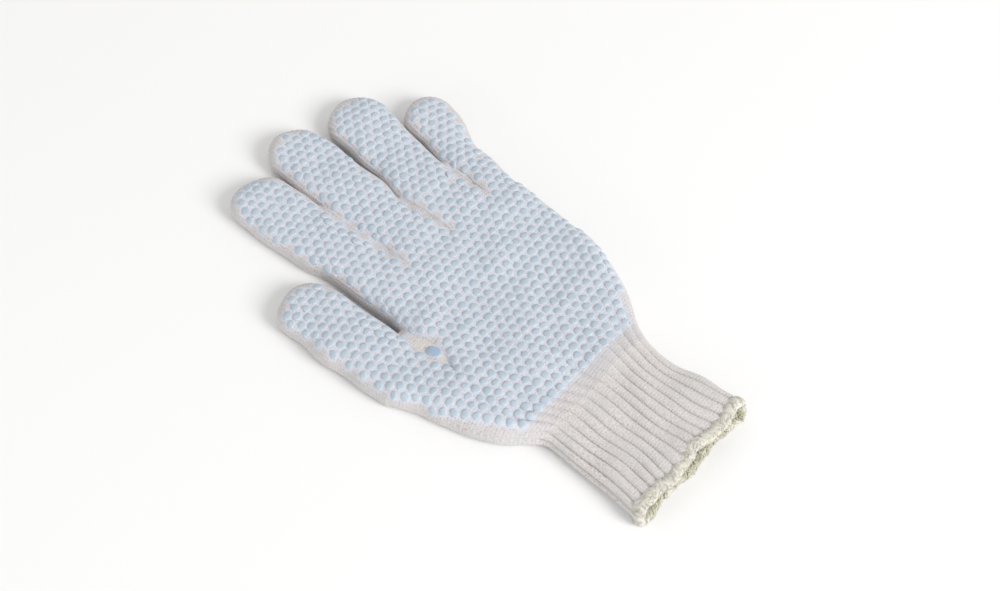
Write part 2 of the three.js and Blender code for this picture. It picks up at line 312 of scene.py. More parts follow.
def matt_surface(tree, settings, relief=None, strength=0.4):
    """Ends a material in one Principled shader, with a fine bump where it is given a relief."""
    if relief is not None:
        bump = node(tree, "ShaderNodeBump", {"Strength": strength, "Distance": 0.0002, "Height": relief})
        settings["Normal"] = bump.outputs[0]
    surface = node(tree, "ShaderNodeBsdfPrincipled", settings).outputs[0]
    node(tree, "ShaderNodeOutputMaterial", {"Surface": surface})


def string_knit(name, warm, cool, painted_hole_shade, hole_reach, disorder, rib_wales=0):
    """Plain knit of matt string yarn: slanted legs, a pinhole in each stitch with painted shade in it, and slow
    changes of tone; where the knit is ribbed, painted shade darkens the sunk stitches between the ribs."""
    made, tree = new_material(name)
    knit_uv = node(tree, "ShaderNodeUVMap", uv_map="knit").outputs[0]
    shifted = node(tree, "ShaderNodeMapping", {"Vector": knit_uv, "Location": (0.5, 0.0, 0.0)}).outputs[0]
    cells = node(tree, "ShaderNodeTexVoronoi", {"Vector": shifted, "Scale": 1.0, "Randomness": disorder},
                 voronoi_dimensions="2D")
    openness = node(tree, "ShaderNodeSeparateXYZ", {0: cells.outputs["Color"]}).outputs[0]
    pinhole = mapped(tree, cells.outputs["Distance"], 0.08, hole_reach, 1, 0)
    pinhole = maths(tree, "MULTIPLY", pinhole, mapped(tree, openness, 0, 1, 0.45, 1.25))
    patches, grain, fibres = noise(tree, 55.0, 2.0), noise(tree, 900.0, 3.0), noise(tree, 3600.0, 2.0)
    split = node(tree, "ShaderNodeSeparateXYZ", {0: knit_uv})
    across = maths(tree, "FRACT", split.outputs[0])
    from_middle = maths(tree, "ABSOLUTE", maths(tree, "SUBTRACT", across, 0.5))
    slanted = maths(tree, "ADD", split.outputs[1], maths(tree, "MULTIPLY", from_middle, SLANT))
    legs = maths(tree, "COSINE", maths(tree, "MULTIPLY", slanted, 2 * math.pi))
    tone = tinted(tree, "MIX", mapped(tree, patches, 0.35, 0.65, 0, 1), warm, cool)
    print_halo = node(tree, "ShaderNodeAttribute", attribute_name="printed").outputs["Fac"]
    tone = tinted(tree, "MIX", print_halo, tone, PRINT_TINT)
    # Painted shade in the pinholes: stronger in some patches than in others, and weaker where the print tints the
    # yarn.
    pinhole_painted_shade = maths(tree, "MULTIPLY", pinhole, mapped(tree, patches, 0.35, 0.65, painted_hole_shade, painted_hole_shade * 0.35))
    pinhole_painted_shade = maths(tree, "MULTIPLY", pinhole_painted_shade, mapped(tree, print_halo, 0.2, 0.9, 1, 0.4))
    # The grain is the yarn's own uneven tone; the painted pinhole shade is taken off it.
    shade = maths(tree, "SUBTRACT", mapped(tree, grain, 0.3, 0.7, 0.91, 1.0), pinhole_painted_shade)
    if rib_wales:
        # Painted shade: the sunk stitches between the ribs are darkened, fading out towards the wrist.
        rib = maths(tree, "SINE", maths(tree, "MULTIPLY", split.outputs[0], math.pi / rib_wales))
        painted_groove_shade = mapped(tree, maths(tree, "ABSOLUTE", rib), 0.0, 0.6, 0.15, 0)
        painted_groove_shade = maths(tree, "MULTIPLY", painted_groove_shade, mapped(tree, split.outputs[1], 29, 38, 1, 0))
        shade = maths(tree, "SUBTRACT", shade, painted_groove_shade)
    height = maths(tree, "ADD", maths(tree, "MULTIPLY", legs, 0.25), maths(tree, "MULTIPLY", fibres, 0.9))
    height = maths(tree, "SUBTRACT", height, maths(tree, "MULTIPLY", pinhole, 0.8))
    rough = mapped(tree, grain, 0.2, 0.8, 0.88, 1.0)
    matt_surface(tree, {"Base Color": shaded(tree, tone, shade), "Roughness": rough, "Specular IOR Level": 0.25,
                        "Sheen Weight": 0.25, "Sheen Roughness": 0.6}, height)
    return made


white_knit = string_knit("white_string_knit", (0.65, 0.615, 0.615, 1), (0.615, 0.595, 0.605, 1), 0.24, 0.4, 0.55)


def dress(piece, material, slot, *nodes):
    """Gives a piece its material and body, and hides the solids that it is shown for; slot is not used."""
    piece.data.materials.clear()
    piece.data.materials.append(material)
    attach(piece, "root")
    if nodes:
        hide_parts(*nodes)


def knitted_stall(name, stall, line_y):
    """Stall as a piece of white knit; its stitches are calm at the root and the tip."""
    rings, columns, courses, places = stall_rings(stall, line_y)
    relief = stitch_height(columns, courses) * calmed(places, 0)
    relief *= eased(stall["length"] - places, 0, TIP_CALM)[:, None]
    piece = knit_tube(name, rings, columns, courses, relief, closed_tip=True)
    dress(piece, white_knit, "knit", name + "_stall")
    return piece


finger_pieces = {finger["name"]: knitted_stall(finger["name"] + "_finger", finger, FINGER_LINE)
                 for finger in FINGERS}


# Upper palm. The four finger tubes are joined into one plain-knit tube that runs to the crotch of the thumb.
# The fingers' roundness runs on into it as creases that fade out towards the wrist.
THUMB_CROTCH = 112.5
CROTCH_SPREAD = 0.9
PALM_WALES = 124
CREASE_START = 138
ROUND_OVER = 2.4
DIP_MIDDLE = 12
DIP_REACH = 38
PALM_SECTIONS = np.array([
    # y, left, right, height, dip
    (THUMB_CROTCH, -31.8, 58.5, 12.9, 2.0),
    (130.0, -31.7, 59.6, 12.6, 1.6),
    (147.0, -31.1, 61.2, 12.2, 1.0),
    (160.0, -30.6, 62.8, 11.7, 0.4),
    (FINGER_LINE, -30.4, 63.9, 11.2, 0.1),
])


def through(table, column, at):
    """Smooth cubic curve through one column of a table of sections."""
    places, values = table[:, 0], table[:, column]
    slopes = np.gradient(values, places)
    k = np.clip(np.searchsorted(places, at) - 1, 0, len(places) - 2)
    span = places[k + 1] - places[k]
    part = np.clip((at - places[k]) / span, 0, 1)
    start = (2 * part ** 3 - 3 * part ** 2 + 1) * values[k] + (part ** 3 - 2 * part ** 2 + part) * span * slopes[k]
    end = (3 * part ** 2 - 2 * part ** 3) * values[k + 1] + (part ** 3 - part ** 2) * span * slopes[k + 1]
    return start + end


def top_line(width, height):
    """Upper half of a tube's outline, across and up, from its left side to its right."""
    across, up = tube_line(width, height, 720)
    left = int(np.argmin(across))
    return across[left::-1], up[left::-1]


def tube_top(across, left, right, height):
    """Height of a tube's top over the table at the given places across, and its widest level outside it."""
    return np.interp(across - (left + right) / 2, *top_line(right - left, height))


def root_top(across, stall):
    """Height of the top of a stall at its root."""
    left = stall["x"] - stall["widths"][0] / 2 - stall["spread"][0]
    right = stall["x"] + stall["widths"][0] / 2 + stall["spread"][1]
    return tube_top(across, left, right, stall["heights"][0])


def finger_roots(across):
    """Height of the tops of the four fingers at their roots."""
    return np.max([root_top(across, finger) for finger in FINGERS], 0)


def body_rings(table, start, places, wales, end_top, crease_start):
    """Rings of the hand through a table of sections. Their top turns into end_top at the last section, and
    rings before the start or after the last section tuck in under the next piece."""
    count = wales * POINTS_ACROSS
    rings = []
    for place in places:
        at = min(max(place, start), table[-1, 0])
        tuck = TUCK * float(eased(abs(place - at), 0, TUCK_REACH))
        left, right, height, dip = (float(through(table, column, at)) for column in (1, 2, 3, 4))
        across, up = tube_line(right - left, height, count)
        across = across + (left + right) / 2
        above = eased(up, EDGE_LEVEL, EDGE_LEVEL + ROUND_OVER)
        slack = np.maximum(0, 1 - ((across - DIP_MIDDLE) / DIP_REACH) ** 2)
        lowered = up - dip * slack * above
        creased = float(np.clip((at - crease_start) / (table[-1, 0] - crease_start), 0, 1)) ** 2
        lowered += creased * above * (end_top(across) - lowered)
        across = across - tuck * 2 * (across - (left + right) / 2) / (right - left)
        rings.append(np.stack([across, np.full_like(across, place), np.maximum(0, lowered - tuck)], 1))
    return np.array(rings), *np.meshgrid(np.linspace(0, wales, count + 1), places / COURSE_HEIGHT)


places = np.arange(THUMB_CROTCH - COURSE_HEIGHT, FINGER_LINE + TUCK_REACH, ROW_STEP)
rings, columns, courses = body_rings(PALM_SECTIONS, THUMB_CROTCH, places, PALM_WALES, finger_roots, CREASE_START)
leftmost = rings[..., 0].min(1)[:, None]
beside_thumb = 1 - eased(places, THUMB_CROTCH + 10, THUMB_CROTCH + 26)[:, None]
rings[..., 0] -= CROTCH_SPREAD * beside_thumb * np.clip(1 - (rings[..., 0] - leftmost) / 6, 0, 1) ** 2
relief = stitch_height(columns, courses) * calmed(places, THUMB_CROTCH, FINGER_LINE)
upper_palm = knit_tube("upper_palm", rings, columns, courses, relief)
dress(upper_palm, white_knit, "knit", "palm_body")


# Thumb stall. It is knitted as its own tube, like a finger, and joined to the side of the hand tube at the
# crotch of the thumb.
THUMB = dict(x=-46.9, lean=2.1, length=68.2, widths=(27.2, 28.2), heights=(12.6, 10.6),
             tip=0.5, spread=(0, CROTCH_SPREAD), spread_end=(8, 34))
thumb_piece = knitted_stall("thumb", THUMB, THUMB_CROTCH)


# Heel of the hand. One wide plain-knit tube takes in the palm and the thumb and narrows sharply to the wrist,
# where the ribs of the cuff run on into it as gathers that die out.
WRIST = 51.5
RIBS = 32
RIB_WALES = 5
RIB_DEPTH = 1.2
HEEL_SECTIONS = np.array([
    # y, left, right, height, dip
    (44.0, -31.8, 31.5, 11.8, 0.0),
    (WRIST, -32.7, 32.5, 12.2, 0.0),
    (57.5, -37.7, 35.5, 12.8, 0.3),
    (63.5, -43.8, 40.0, 13.3, 0.8),
    (75.0, -48.7, 47.5, 13.8, 1.4),
    (88.0, -51.9, 53.5, 14.0, 1.9),
    (98.0, -54.3, 56.6, 13.8, 2.1),
    (106.5, -58.1, 57.9, 13.3, 2.1),
    (THUMB_CROTCH, -60.3, 58.5, 12.9, 2.0),
])
HEEL_WALES = RIBS * RIB_WALES
THUMB_CREASE_START = 84
PRICK_INSET = 3.6
PRICK_DEPTH = 0.6
rib_seed = np.random.default_rng(3)
RIB_ENDS = rib_seed.uniform(70, 92, RIBS)
RIB_STRENGTHS = rib_seed.uniform(0.55, 1.1, RIBS)


def thumb_and_palm(across):
    """Height of the tops of the thumb and the upper palm at the thumb crotch."""
    left, right, height, dip = PALM_SECTIONS[0, 1:]
    left -= CROTCH_SPREAD
    palm_top = tube_top(across, left, right, height)
    palm_top = palm_top - dip * np.maximum(0, 1 - ((across - DIP_MIDDLE) / DIP_REACH) ** 2)
    return np.maximum(root_top(across, THUMB), palm_top)


def rib_height(part, y):
    """Relief of round ribs side by side with uneven furrows between them."""
    depth = RIB_DEPTH + 0.2 * np.sin(2 * np.pi * (5 * part + y / 31))
    return -depth * (1 - np.abs(np.sin(np.pi * part * RIBS)) ** 0.85)


places = np.arange(WRIST - COURSE_HEIGHT, THUMB_CROTCH + TUCK_REACH, ROW_STEP)
rings, columns, courses = body_rings(HEEL_SECTIONS, WRIST, places, HEEL_WALES, thumb_and_palm, THUMB_CREASE_START)
part, along = columns / HEEL_WALES, courses * COURSE_HEIGHT
furrow = np.round(part * RIBS).astype(int) % RIBS
fade = 1 - eased(along, 53, RIB_ENDS[furrow])
gathers = rib_height(part, along) * fade * (1 + (RIB_STRENGTHS[furrow] - 1) * eased(along, WRIST, WRIST + 6.5))
left_edge = np.argmin(rings[..., 0], 1)[:, None] * HEEL_WALES / (rings.shape[1] - 1)
from_row = columns - (left_edge - PRICK_INSET / COLUMN_WIDTH)
pricks = np.exp(-(from_row / 0.4) ** 2) * (0.5 - 0.5 * np.cos(np.pi * courses)) ** 3
pricks = pricks * (1 - eased(along, 78, 92))
stitches = 0.65 * stitch_height(columns, courses) * calmed(places, WRIST, THUMB_CROTCH)
relief = stitches + 0.9 * gathers - PRICK_DEPTH * pricks
heel = knit_tube("heel_of_hand", rings, columns, courses, relief)
dress(heel, white_knit, "knit", "palm_body")


# Crotches. Where two tubes part, the knitting machine works a few stitches of the two over each other, so a web
# of cloth bridges the fork. At the thumb it is reinforced with a cream yarn and is the widest.
WEBS = (
    dict(name="thumb_web", pieces=(heel, upper_palm, thumb_piece), start=(-32.0, 102.0), end=(-33.6, 131.0),
         wheel=(10.0, 2.6), cream=True),
    dict(name="index_middle_web", pieces=(upper_palm, finger_pieces["index"], finger_pieces["middle"]),
         start=(-6.6, 160.0), end=(-6.9, 204.0), wheel=(6.0, 1.5), cream=False),
    dict(name="middle_ring_web", pieces=(upper_palm, finger_pieces["middle"], finger_pieces["ring"]),
         start=(19.3, 160.0), end=(19.9, 182.0), wheel=(5.0, 0.9), cream=False),
    dict(name="ring_little_web", pieces=(upper_palm, finger_pieces["ring"], finger_pieces["little"]),
         start=(45.4, 160.0), end=(47.4, 181.0), wheel=(5.0, 0.9), cream=False),
)
WEB_HALF = 8.0
WEB_WALL = 0.9
WEB_WALES = 10
PROBE_STEP = 0.16


def top_of(pieces, x, y):
    """Height of the highest of the pieces over a point of the hand, or -5 where there is none."""
    best = -5.0
    start = Vector(((x + hand_origin[0]) * MM, (y + hand_origin[1]) * MM, 0.05))
    for piece in pieces:
        hit, place, _, _ = piece.ray_cast(start, Vector((0, 0, -1)))
        if hit:
            best = max(best, place.z / MM)
    return best


def bridged(profile, wheel):
    """Profile whose narrow valleys are filled up to where a wheel of this radius would roll over them."""
    reach = int(wheel / PROBE_STEP)
    offsets = np.arange(-reach, reach + 1)
    rim = np.sqrt(np.maximum(wheel ** 2 - (offsets * PROBE_STEP) ** 2, 0))
    padded = np.pad(profile, 2 * reach, mode="edge")
    raised = np.max([np.roll(padded, k) + height for k, height in zip(offsets, rim)], 0)
    lowered = np.min([np.roll(raised, k) - height for k, height in zip(offsets, rim)], 0)
    return lowered[2 * reach:-2 * reach]


def blurred(grid, axis, times):
    """Grid of values evened out along one axis."""
    for _ in range(times):
        grid = 0.5 * grid + 0.25 * (np.roll(grid, 1, axis) + np.roll(grid, -1, axis))
    return grid


cream_knit = string_knit("cream_reinforcing_knit", (0.71, 0.675, 0.645, 1), (0.69, 0.655, 0.63, 1),
                         0.14, 0.36, 0.4)
web_pieces = []
bpy.context.view_layer.update()
for web in WEBS:
    (start_x, start_y), (end_x, end_y) = web["start"], web["end"]
    rows_y = np.arange(start_y, end_y, ROW_STEP)
    aside = np.arange(-WEB_HALF, WEB_HALF + PROBE_STEP / 2, PROBE_STEP)
    middle_x = np.interp(rows_y, (start_y, end_y), (start_x, end_x))
    ground = np.array([[top_of(web["pieces"], x + step, y) for step in aside] for x, y in zip(middle_x, rows_y)])
    ground = blurred(np.pad(ground, ((6, 6), (0, 0)), mode="edge"), 0, 6)[6:-6]
    wheels = np.interp(rows_y, (start_y, end_y), web["wheel"])
    filled = np.array([bridged(profile, wheel) for profile, wheel in zip(ground, wheels)])
    # Where the web bridges nothing it dips into the cloth, but hardly where it covers the heel's seam, and it
    # dips in at both ends and along both sides.
    sink = 0.3 - 0.24 * np.exp(-((rows_y - THUMB_CROTCH - 0.6) / 1.8) ** 2)[:, None]
    lifted = filled - sink * (1 - eased(filled - ground, 0.05, 0.5))
    lifted -= 1.0 * (1 - eased(end_y - rows_y, 0, 4))[:, None]
    lifted -= 0.6 * (1 - eased(rows_y - start_y, 0, 8))[:, None]
    lifted -= 0.6 * eased(np.abs(aside) / WEB_HALF, 0.8, 1)[None]
    size = WEB_WALES * POINTS_ACROSS + 1
    wanted = np.linspace(-WEB_HALF, WEB_HALF, size)
    height = np.array([np.interp(wanted, aside, row) for row in lifted])
    columns, courses = np.meshgrid(np.linspace(0, WEB_WALES, size), rows_y / COURSE_HEIGHT)
    height = height + stitch_height(columns, courses)
    rows = np.stack([middle_x[:, None] + wanted[None], np.repeat(rows_y[:, None], size, 1), height], -1)
    piece = closed_grid(web["name"], rows, columns, courses)
    if piece.data.polygons[0].normal.z < 0:
        piece.data.flip_normals()
    wall = piece.modifiers.new("wall", "SOLIDIFY")
    wall.thickness = WEB_WALL * MM
    wall.offset = -1
    bpy.ops.object.modifier_apply(modifier=wall.name)
    dress(piece, cream_knit if web["cream"] else white_knit, "knit")
    web_pieces.append(piece)


# Ribbed cuff. A rib-knit tube with rubber thread in it holds the glove on the wrist. Its ribs are round and
# close together, and its free edge flares a little where the overlock stretches it.
CUFF_START = 3.0
CUFF_SECTIONS = np.array([
    # y, left, right, height, rib relief
    (CUFF_START, -35.2, 34.2, 13.0, 0.5),
    (5.5, -35.0, 34.0, 13.0, 0.7),
    (19.0, -33.8, 33.0, 12.0, 1.0),
    (34.0, -32.6, 31.5, 11.6, 1.0),
    (44.0, -31.8, 31.5, 11.8, 0.95),
    (WRIST, -32.7, 32.5, 12.2, 0.9),
    (57.5, -37.7, 35.5, 12.8, 0.9),
])
CUFF_WALL = 2.2
EDGE_WAVES = 5
EDGE_WAVE = 0.9
SAG = 0.2
SAG_REACH = 26
SAG_WAVES = 6


def edge_wave(part, y):
    """How far the wavy free edge moves the cloth along the hand; it dies out towards the wrist."""
    return EDGE_WAVE * np.maximum(0, 1 - y / WRIST) * np.sin(2 * np.pi * EDGE_WAVES * part)


def sag(part, y):
    """Share of its height that the slack upper side keeps; it sags in waves towards the mouth."""
    waves = 0.5 + 0.5 * np.sin(2 * np.pi * SAG_WAVES * part + 2.2)
    return 1 - SAG * np.clip(1 - y / SAG_REACH, 0, 1) ** 2 * waves


places = np.arange(CUFF_START, WRIST + TUCK_REACH, ROW_STEP)
count = HEEL_WALES * POINTS_ACROSS
part = np.linspace(0, 1, count + 1)
rings, reliefs = [], []
for place in places:
    at = min(place, WRIST)
    left, right, height, ribbed = (float(through(CUFF_SECTIONS, column, at)) for column in (1, 2, 3, 4))
    across, up = tube_line(right - left, height, count)
    tuck = TUCK * float(eased(place - WRIST, 0, TUCK_REACH))
    x = across * (1 - 2 * tuck / (right - left)) + (left + right) / 2
    rings.append(np.stack([x, place + edge_wave(part, place), np.maximum(0, up * sag(part, place) - tuck)], 1))
    reliefs.append(ribbed * rib_height(part, place))
rings = np.array(rings)
columns, courses = np.meshgrid(part * HEEL_WALES, places / COURSE_HEIGHT)
relief = np.array(reliefs) + 1.25 * stitch_height(columns, courses) * calmed(places, WRIST)
cuff = knit_tube("ribbed_cuff_knit", rings, columns, courses, relief, wall=CUFF_WALL)
rib_knit = string_knit("white_rib_knit", (0.715, 0.675, 0.655, 1), (0.675, 0.65, 0.635, 1), 0.24, 0.4, 0.9,
                       RIB_WALES)
dress(cuff, rib_knit, "knit", "ribbed_cuff")


# Overlocked hem. The cut edge of the cuff is bound with thick cream yarn that wraps it in close slanted loops
# and frays a little; inside the mouth a thread of dull green runs with it.
ROLL_MIDDLE = 2.7
ROLL_HALF = 2.7
ROLL_THICK = 1.9
ROLL_LOWEST = 0.62
HEM_SINK = 1.2
MOUTH_ROUND = 165
ROLL_RADIUS = 2.3
WRAPS = 120
YARN_ENDS = 1800
GREEN_LOOPS = 120
loop_seed = np.random.default_rng(11)


def mouth_frame(part):
    """Place on the mouth's outline and the outward direction there, for parts of a turn."""
    left, right, height = CUFF_SECTIONS[1, 1:4]
    across, up = tube_line(right - left, height, 1440)
    fine_part = np.linspace(0, 1, 1441)
    up = up * sag(fine_part, CUFF_START)
    x = np.interp(part % 1, fine_part, across) + (left + right) / 2
    z = np.interp(part % 1, fine_part, up)
    ahead, behind = (part + 0.004) % 1, (part - 0.004) % 1
    dx, dz = (np.interp(ahead, fine_part, line) - np.interp(behind, fine_part, line) for line in (across, up))
    size = np.hypot(dx, dz)
    return x, z, dz / size, -dx / size


def roll_point(part, turn, swell):
    """Point on the roll: part goes round the mouth, turn round the roll from its outside over the free edge."""
    x, z, out_x, out_z = mouth_frame(part)
    swell = swell + 0.12 * np.sin(2 * np.pi * 37 * part + 2 * np.sin(turn)) * np.sin(2 * np.pi * 11 * part + turn)
    offset = -HEM_SINK + (ROLL_THICK + swell) * np.cos(turn)
    y = ROLL_MIDDLE - (ROLL_HALF + swell) * np.sin(turn) + edge_wave(part, CUFF_START)
    y = y + 0.3 * np.sin(2 * np.pi * 13 * part + 1.0) + 0.15 * np.sin(2 * np.pi * 29 * part)
    return np.stack([x + out_x * offset, y, np.maximum(z + out_z * offset, ROLL_LOWEST)], -1)


def piece_from(name, places, faces):
    """Piece made of points in hand millimetres and the faces between them."""
    mesh = bpy.data.meshes.new(name)
    mesh.from_pydata(((np.array(places) + hand_origin) * MM).tolist(), [], faces)
    piece = bpy.data.objects.new(name, mesh)
    bpy.context.collection.objects.link(piece)
    return piece


def tubes_along(name, lines, radii, sides, material):
    """Thin round strands of yarn along lines of points, closed at both ends, made as one piece."""
    places, faces = [], []
    for line, radius in zip(lines, radii):
        base = len(places)
        line = np.asarray(line, float)
        heading = np.gradient(line, axis=0)
        heading /= np.maximum(np.linalg.norm(heading, axis=1, keepdims=True), 1e-9)
        helper = np.where(np.abs(heading[:, 2:]) > 0.9, [[1.0, 0, 0]], [[0, 0, 1.0]])
        side = np.cross(heading, helper)
        side /= np.linalg.norm(side, axis=1, keepdims=True)
        up = np.cross(side, heading)
        for k in range(len(line)):
            for turn in np.linspace(0, 2 * np.pi, sides, endpoint=False):
                places.append(line[k] + radius[k] * (math.cos(turn) * side[k] + math.sin(turn) * up[k]))
        for k in range(len(line) - 1):
            for i in range(sides):
                j = (i + 1) % sides
                a, b = base + k * sides, base + (k + 1) * sides
                faces.append((a + i, a + j, b + j, b + i))
        last = base + (len(line) - 1) * sides
        faces.append(tuple(base + i for i in reversed(range(sides))))
        faces.append(tuple(last + i for i in range(sides)))
    piece = piece_from(name, places, faces)
    bpy.ops.object.select_all(action="DESELECT")
    piece.select_set(True)
    bpy.context.view_layer.objects.active = piece
    smooth_outside()
    dress(piece, material, "hem_yarn")


def fluffy_yarn(name, light, dark, inside):
    """Soft thick yarn with a woolly surface; on the roll it changes to the inside tone within the mouth."""
    made, tree = new_material(name)
    patches, fibres = noise(tree, 160.0, 3.0), noise(tree, 2600.0, 4.0)
    tone = tinted(tree, "MIX", mapped(tree, patches, 0.36, 0.66, 0, 1), light, dark)
    roll_uv = node(tree, "ShaderNodeSeparateXYZ", {0: node(tree, "ShaderNodeUVMap", uv_map="knit").outputs[0]})
    from_inside = maths(tree, "ABSOLUTE", maths(tree, "SUBTRACT", roll_uv.outputs[1], 2.9))
    ragged = maths(tree, "ADD", from_inside, maths(tree, "MULTIPLY", patches, 3.0))
    tone = tinted(tree, "MIX", mapped(tree, ragged, 1.7, 2.5, 1, 0), tone, inside)
    shade = mapped(tree, fibres, 0.3, 0.7, 0.93, 1.0)
    rough = mapped(tree, fibres, 0.2, 0.8, 0.88, 1.0)
    matt_surface(tree, {"Base Color": shaded(tree, tone, shade), "Roughness": rough, "Specular IOR Level": 0.2,
                        "Sheen Weight": 0.4, "Sheen Roughness": 0.6}, fibres)
    return made


cream_yarn = fluffy_yarn("cream_overlock_yarn", (0.70, 0.675, 0.62, 1), (0.66, 0.64, 0.555, 1),
                         (0.52, 0.52, 0.37, 1))
green_thread = fluffy_yarn("dull_green_thread", (0.50, 0.505, 0.31, 1), (0.60, 0.59, 0.43, 1),
                           (0.48, 0.485, 0.29, 1))

TURNS, PARTS = 44, 580
woolly = [blurred(blurred(loop_seed.normal(0, 1, (TURNS, PARTS)), 0, times), 1, times) for times in (2, 16)]
tuft = 0.05 * woolly[0] / woolly[0].std() + 0.11 * woolly[1] / woolly[1].std()
turns = np.arange(TURNS) * 2 * np.pi / TURNS
roll_parts = np.arange(PARTS) / PARTS
roll = np.array([roll_point(roll_parts, turn, swell) for turn, swell in zip(turns, tuft)])
roll = np.concatenate([roll, roll[:1]])
roll = np.concatenate([roll, roll[:, :1]], 1)
columns, courses = np.meshgrid(np.linspace(0, 100, PARTS + 1), np.linspace(0, 2 * np.pi, TURNS + 1))
roll_piece = closed_grid("hem_roll", roll, columns, courses)
dress(roll_piece, cream_yarn, "hem_yarn", "overlocked_hem")

# The wraps go round the roll from its outside over the free edge and into the mouth.
lines, radii = [], []
for k in range(WRAPS):
    turn = np.linspace(-0.9, 3.9, 13)
    lean = loop_seed.uniform(-1.5, 2.5) / WRAPS
    part = (k + loop_seed.uniform(-0.3, 0.3)) / WRAPS + lean * turn / np.pi
    lines.append(roll_point(part, turn, loop_seed.uniform(-0.55, -0.3)))
    radii.append(np.full(len(turn), loop_seed.uniform(0.4, 0.55)))
tubes_along("overlock_wraps", lines, radii, 6, cream_yarn)

# The yarn frays: fine ends of it curl out of the wraps all over.
lines, radii = [], []
for _ in range(YARN_ENDS):
    heading, span = loop_seed.uniform(0, 2 * np.pi), loop_seed.uniform(0.8, 2.2)
    along = np.linspace(-0.5, 0.5, 5)
    part = loop_seed.uniform(0, 1) + span * along * math.cos(heading) / MOUTH_ROUND
    turn = loop_seed.uniform(-0.8, 3.6) + span * along * math.sin(heading) / ROLL_RADIUS
    arch = np.cos(np.pi * along) * loop_seed.uniform(0.0, 0.5)
    lines.append(roll_point(part, turn, arch + 0.05))
    radii.append(np.full(5, loop_seed.uniform(0.07, 0.11)))
tubes_along("overlock_fluff", lines, radii, 3, cream_yarn)

# The green thread lies inside the mouth in loose loops, three of every four on its lower side.
lines, radii = [], []
for k in range(GREEN_LOOPS):
    lower = k % 4 > 0
    patch = loop_seed.normal(loop_seed.integers(0, 9) / 9, 0.03)
    part = (0.5 + 0.5 * (patch % 1) if lower else 0.5 * (patch % 1)) + np.linspace(-0.5, 0.5, 7) * 0.012
    turn = loop_seed.uniform(2.0, 3.2) + 0.4 * np.sin(np.linspace(0, 5, 7) + loop_seed.uniform(0, 6))
    lines.append(roll_point(part, turn, loop_seed.uniform(0.1, 0.35)))
    radii.append(np.full(7, loop_seed.uniform(0.16, 0.26)))
tubes_along("green_threads", lines, radii, 5, green_thread)


# Grip dots. Pale blue vinyl is printed on the palm and the insides of the fingers in rows, as low round
# domes that sink a little into the knit. The print stops short of the edges and of the creases.
DOT_PITCH = 4.7
DOT_ROW = DOT_PITCH * math.sqrt(3) / 2
DOT_RADIUS = 2.0
DOT_RISE = 0.64
DOT_SINK = 0.25
FEEL_REACH = 1.3
dot_seed = np.random.default_rng(5)


def blue_vinyl(name, dark, light):
    """Soft matt vinyl, a little uneven in tone, with a faint skin; it thins out to the printed yarn at its rim."""
    made, tree = new_material(name)
    patches = mapped(tree, noise(tree, 260.0, 2.0), 0.3, 0.7, 0, 1)
    skin = noise(tree, 2200.0, 2.0)
    tone = tinted(tree, "MIX", patches, dark, light)
    thick = node(tree, "ShaderNodeAttribute", attribute_name="thick").outputs["Fac"]
    tone = tinted(tree, "MIX", mapped(tree, thick, 0, 0.45, 0.85, 0), tone, (0.63, 0.66, 0.73, 1))
    rough = mapped(tree, skin, 0.3, 0.7, 0.5, 0.65)
    matt_surface(tree, {"Base Color": tone, "Roughness": rough, "Specular IOR Level": 0.15,
                        "Subsurface Weight": 0.4, "Subsurface Radius": (0.8, 1.0, 1.0),
                        "Subsurface Scale": 0.0008}, skin, 0.35)
    return made


pale_vinyl = blue_vinyl("pale_blue_vinyl", (0.45, 0.535, 0.61, 1), (0.51, 0.58, 0.64, 1))
thick_vinyl = blue_vinyl("thick_blue_vinyl", (0.37, 0.48, 0.62, 1), (0.41, 0.52, 0.65, 1))

# Every dot is a copy of one dome that is cut from a ball. Its faces are put in a fixed order, with the flat
# underside last, which starts at its first point.
bpy.ops.object.select_all(action="DESELECT")
bpy.ops.mesh.primitive_uv_sphere_add(segments=10, ring_count=8, radius=1, location=(0, 0, 0))
dome = bpy.context.object
bpy.ops.object.mode_set(mode="EDIT")
bpy.ops.mesh.select_all(action="SELECT")
bpy.ops.mesh.bisect(plane_co=(0, 0, -0.02), plane_no=(0, 0, 1), use_fill=True, clear_inner=True)
bpy.ops.object.mode_set(mode="OBJECT")
dome_points = np.array([v.co for v in dome.data.vertices])
dome_points[:, 2] = np.maximum(dome_points[:, 2], 0) ** 0.7
dome_thick = 1 - (dome_points[:, :2] ** 2).sum(1)
dome_faces = sorted((list(f.vertices) for f in dome.data.polygons), key=lambda face: (len(face), sorted(face)))
dome_faces[-1] = np.roll(dome_faces[-1], -np.argmin(dome_faces[-1])).tolist()
bpy.data.objects.remove(dome)


KNITTED = [heel, upper_palm, thumb_piece, *finger_pieces.values(), *web_pieces]


def nearest_cloth(point):
    """Place on the cloth nearest to a point."""
    found = []
    for piece in KNITTED:
        hit, place, _, _ = piece.closest_point_on_mesh(Vector((point + hand_origin) * MM), distance=4 * MM)
        if hit:
            place = np.array(place) / MM - hand_origin
            found.append((np.linalg.norm(place - point), tuple(place)))
    return np.array(min(found)[1]) if found else None


def lie_on(point, out):
    """Mean place and normal of the cloth near a point whose outward direction is known roughly."""
    side = np.array([out[2], 0, -out[0]])
    forward = np.cross(out, side)
    steps = ((0, 0), (1, 0), (0, 1), (-1, 0), (0, -1))
    found = [nearest_cloth(point + FEEL_REACH * (a * side + b * forward)) for a, b in steps]
    if any(place is None for place in found):
        return None
    normal = np.cross(found[1] - found[3], found[2] - found[4])
    return np.mean(found, 0), normal / np.linalg.norm(normal)


dot_middles = []
CREAM_SPOT = (-32.0, 117.5)
BARE_ROUND = 6
NEAREST_DOTS = 0.78 * DOT_PITCH


